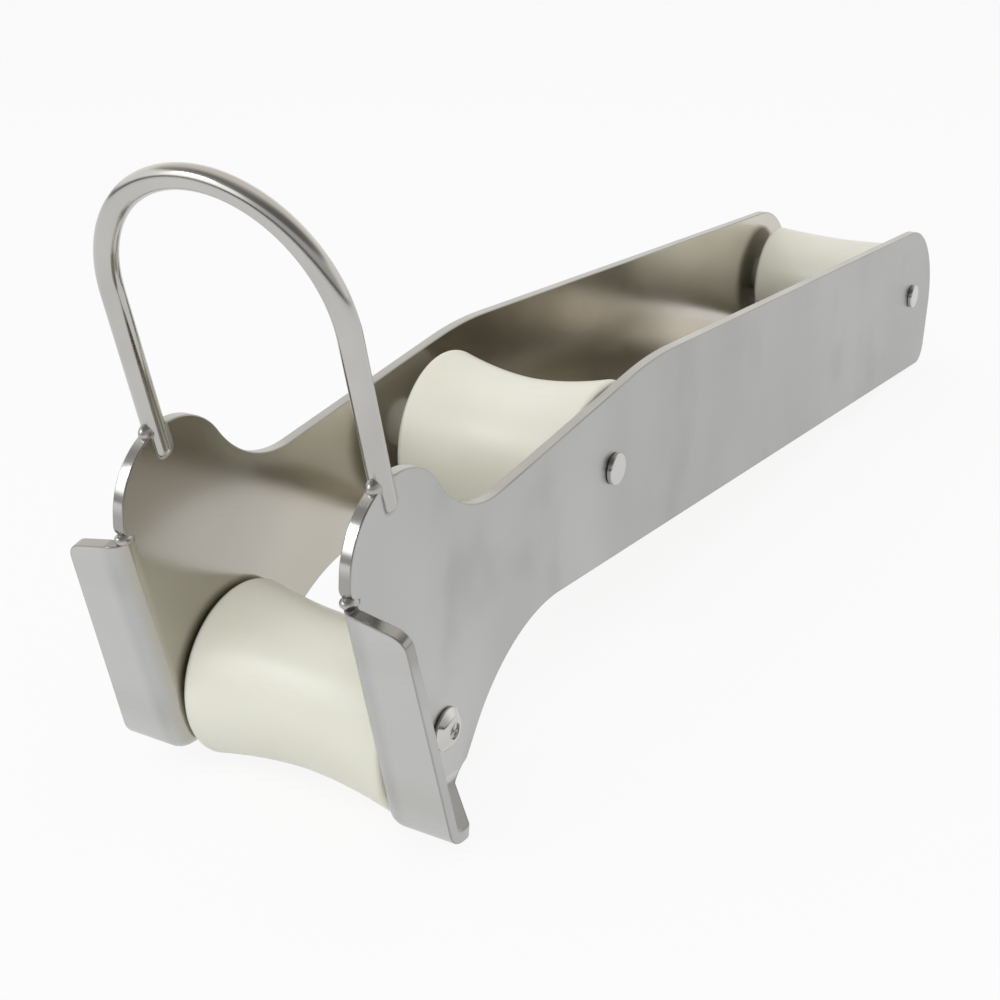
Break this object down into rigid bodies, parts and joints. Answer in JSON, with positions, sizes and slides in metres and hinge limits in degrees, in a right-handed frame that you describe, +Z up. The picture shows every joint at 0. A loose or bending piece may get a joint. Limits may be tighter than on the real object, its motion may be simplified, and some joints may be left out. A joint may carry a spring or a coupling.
{
  "type": "anchor bow roller",
  "caption": "Stainless anchor bow roller: a channel of two cheek plates with outward lips at the bow, a welded guard hoop and hourglass nylon rollers on cross axles.",
  "frame": {"origin": "on the underside of the base plate, on the centreline, straight below the aft roller's axle", "axes": "+X along the channel towards the bow, +Y to port, +Z up from the deck"},
  "size_m": [0.5484, 0.1244, 0.2019],
  "materials": {
    "satin_stainless": "satin stainless sheet with polished edges",
    "polished_stainless": "polished stainless",
    "plain_stainless": "plain turned stainless",
    "weld_bead": "brushed weld bead",
    "cream_nylon": "cream turned nylon with a soft sheen",
    "white_nylon": "white nylon"
  },
  "bodies": {
    "frame": {"port_cheek_plate": "satin_stainless", "starboard_cheek_plate": "satin_stainless", "base_plate": "satin_stainless", "port_seam_weld": "weld_bead", "starboard_seam_weld": "weld_bead", "hoop": "polished_stainless", "port_hoop_weld": "polished_stainless", "starboard_hoop_weld": "polished_stainless", "bow_axle_bolt": "polished_stainless", "bow_axle_sleeve": "plain_stainless", "bow_bolt_washer": "plain_stainless", "bow_lock_nut": "plain_stainless", "bow_nut_insert": "white_nylon", "middle_clevis_pin": "plain_stainless", "middle_spacer": "white_nylon", "middle_tail_washer": "plain_stainless", "middle_split_pin": "plain_stainless", "aft_clevis_pin": "plain_stainless", "aft_port_thrust_washer": "white_nylon", "aft_starboard_thrust_washer": "white_nylon", "aft_tail_washer": "plain_stainless", "aft_split_pin": "plain_stainless"},
    "bow_roller": {"bow_roller": "cream_nylon"},
    "middle_roller": {"middle_roller": "cream_nylon"},
    "aft_roller": {"aft_roller": "cream_nylon"}
  },
  "joints": [
    {"name": "bow_roller_spin", "type": "hinge", "parent": "frame", "child": "bow_roller", "pos_m": [0.4446, 0, -0.022], "axis": [0, 1, 0], "continuous": true},
    {"name": "middle_roller_spin", "type": "hinge", "parent": "frame", "child": "middle_roller", "pos_m": [0.3388, 0, 0.0345], "axis": [0, 1, 0], "continuous": true},
    {"name": "aft_roller_spin", "type": "hinge", "parent": "frame", "child": "aft_roller", "pos_m": [0, 0, 0.0401], "axis": [0, 1, 0], "continuous": true}
  ]
}
